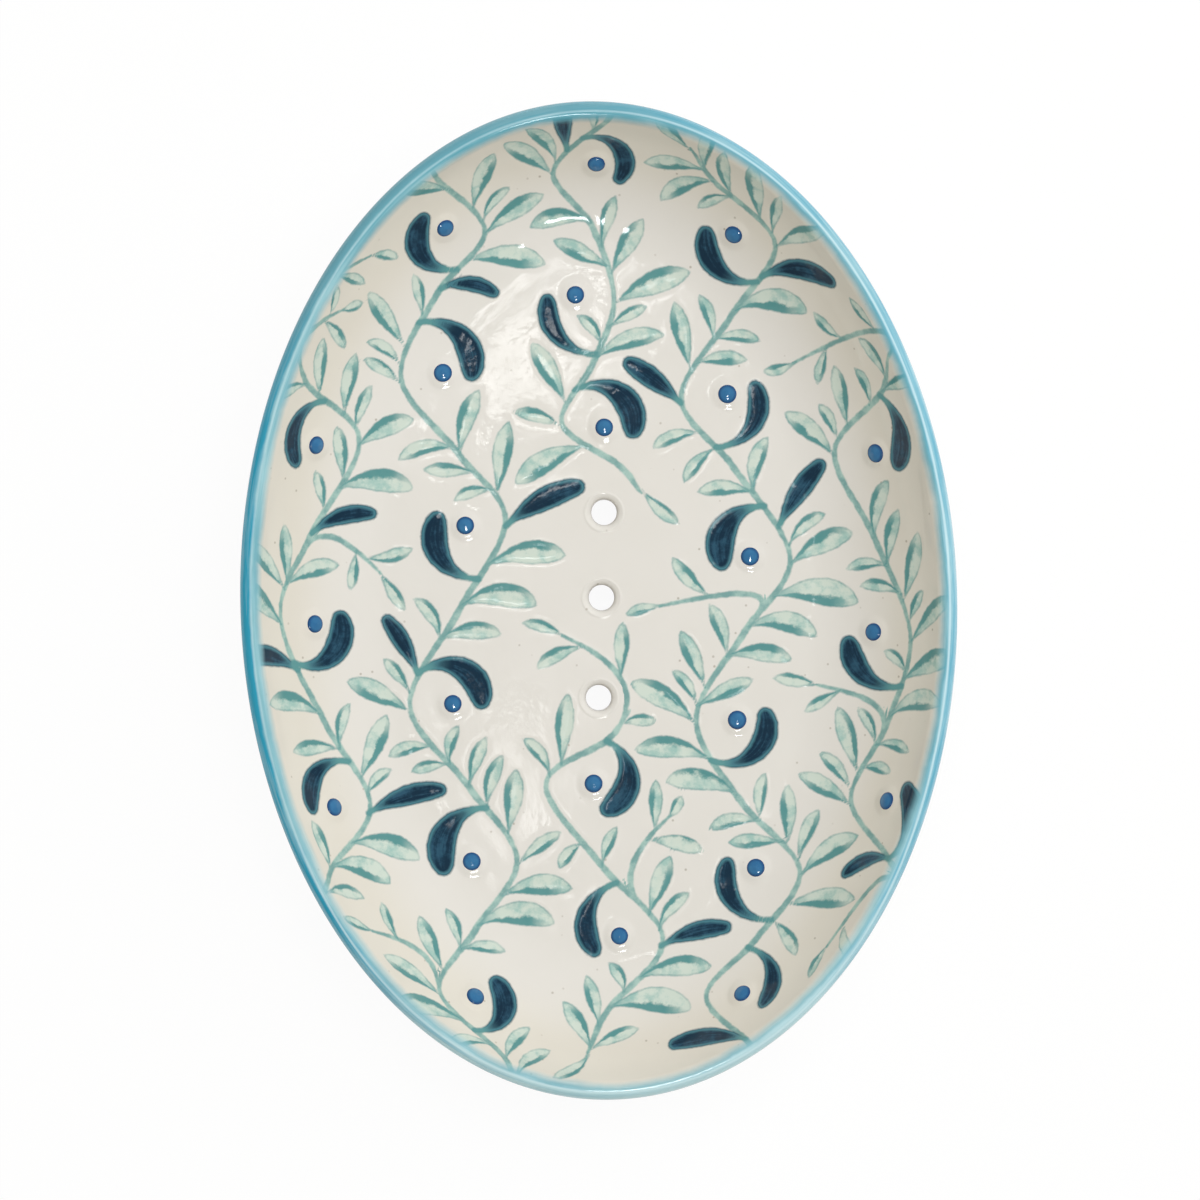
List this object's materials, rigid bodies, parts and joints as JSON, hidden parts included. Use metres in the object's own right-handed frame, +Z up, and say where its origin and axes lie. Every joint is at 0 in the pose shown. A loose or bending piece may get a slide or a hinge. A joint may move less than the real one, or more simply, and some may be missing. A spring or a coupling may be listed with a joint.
{
  "type": "soap dish",
  "caption": "Shallow oval glazed stoneware soap dish on a foot ring, with drain holes in the floor, a turquoise rim band and a painted leaf scroll with raised beads inside.",
  "frame": {"origin": "on the table under the middle of the dish, at the bottom of the foot ring", "axes": "+Z up out of the basin, +Y along the dish's long axis, +X across it"},
  "size_m": [0.1004, 0.14, 0.022],
  "materials": {
    "stoneware": "bare fired stoneware, matt, fine sandy grain",
    "cream_glaze": "glossy cream glaze with fine specks, painted inside with navy and teal leaves",
    "turquoise_glaze": "glossy turquoise glaze, uneven brush-laid depth",
    "cobalt_glaze": "glossy raised cobalt glaze"
  },
  "bodies": {
    "root": {"stoneware_body": "stoneware", "liner_glaze": "cream_glaze", "rim_glaze": "turquoise_glaze", "outer_glaze": "cream_glaze", "underside_glaze": "cream_glaze", "glaze_beads": "cobalt_glaze"}
  },
  "joints": []
}
